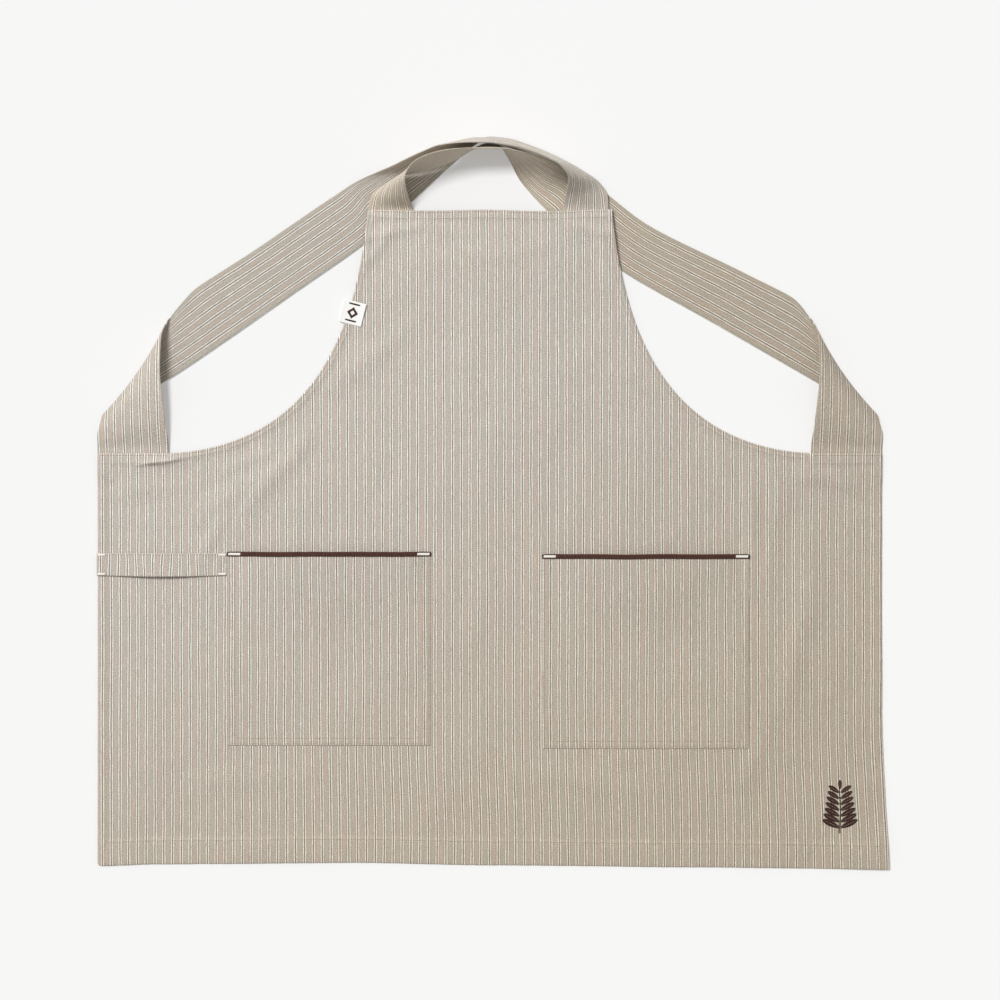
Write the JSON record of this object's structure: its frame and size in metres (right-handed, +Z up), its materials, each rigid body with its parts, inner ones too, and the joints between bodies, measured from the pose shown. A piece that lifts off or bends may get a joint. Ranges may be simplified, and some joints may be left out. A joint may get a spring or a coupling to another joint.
{
  "type": "cross-back work apron",
  "caption": "Cross-back work apron of striped cotton lying flat: bib, wide straps that cross behind the neck, skirt with bound patch pockets, towel loop, woven label and embroidered sprig.",
  "frame": {"origin": "on the underside of the cloth, on the centre line, 61 mm below the hip seams, where the apron rests on the table", "axes": "+X to the right as seen from the front, +Y from the bottom hem to the neck, +Z up from the table through the cloth to its front side"},
  "size_m": [0.9885, 0.9118, 0.0642],
  "materials": {
    "striped_cotton": "yarn-dyed striped plain weave, matt",
    "brown_binding": "folded cotton tape, matt",
    "white_thread": "dense zigzag stitches, slight sheen",
    "label_tape": "fine woven tape, matt",
    "brown_thread": "satin-stitch embroidery, slight sheen"
  },
  "bodies": {
    "bib": {"bib_panel": "striped_cotton", "bib_top_hem": "striped_cotton", "left_armhole_hem": "striped_cotton", "right_armhole_hem": "striped_cotton", "left_hip_hem": "striped_cotton", "right_hip_hem": "striped_cotton", "left_hip_side_hem": "striped_cotton", "right_hip_side_hem": "striped_cotton", "left_strap": "striped_cotton", "right_strap": "striped_cotton", "woven_label": "label_tape"},
    "skirt": {"skirt_panel": "striped_cotton", "left_side_hem": "striped_cotton", "right_side_hem": "striped_cotton", "bottom_hem": "striped_cotton", "left_pocket": "striped_cotton", "right_pocket": "striped_cotton", "left_pocket_binding": "brown_binding", "right_pocket_binding": "brown_binding", "left_pocket_tack_outer": "white_thread", "left_pocket_tack_inner": "white_thread", "right_pocket_tack_outer": "white_thread", "right_pocket_tack_inner": "white_thread", "loop_tack_outer_top": "white_thread", "loop_tack_outer_bottom": "white_thread", "loop_tack_inner_top": "white_thread", "loop_tack_inner_bottom": "white_thread", "towel_loop": "striped_cotton", "hem_motif": "brown_thread"}
  },
  "joints": [
    {"name": "waist_fold", "type": "hinge", "parent": "bib", "child": "skirt", "pos_m": [0, -0.014, 0.012], "axis": [-1, 0, 0], "range_deg": [0, 170]}
  ]
}
